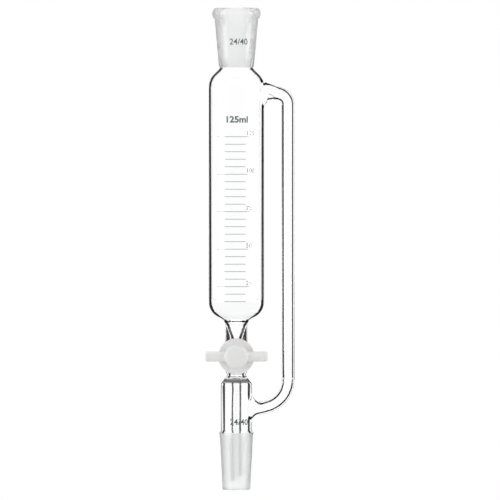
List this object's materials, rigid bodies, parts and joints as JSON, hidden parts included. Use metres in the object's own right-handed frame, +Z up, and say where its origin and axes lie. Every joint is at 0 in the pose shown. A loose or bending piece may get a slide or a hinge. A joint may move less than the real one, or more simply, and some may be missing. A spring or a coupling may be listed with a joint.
{
  "type": "pressure-equalizing addition funnel",
  "caption": "Cylindrical graduated glass funnel with a ground socket, side arm, plastic stopcock and ground lower joint, for adding liquid under pressure balance.",
  "frame": {"origin": "centre of the lower ground joint's small end, on the funnel's axis", "axes": "+Z up along the funnel's axis, +X towards the side arm, -Y towards the stopcock's handle"},
  "size_m": [0.0646, 0.0581, 0.3488],
  "materials": {
    "glass": "clear, ground to a frosted finish on both tapers",
    "plug_plastic": "white, waxy, turned and moulded fluoropolymer",
    "washer_plastic": "white, waxy",
    "ring_rubber": "black, satin",
    "nut_plastic": "white, satin",
    "print": "fired grey-green enamel"
  },
  "bodies": {
    "funnel": {"glass_body": "glass"},
    "stopcock": {"stopcock_plug": "plug_plastic", "washer": "washer_plastic", "rubber_ring": "ring_rubber", "nut": "nut_plastic"}
  },
  "joints": [
    {"name": "stopcock_turn", "type": "hinge", "parent": "funnel", "child": "stopcock", "pos_m": [0, 0, 0.0967], "axis": [0, 1, 0], "continuous": true}
  ]
}
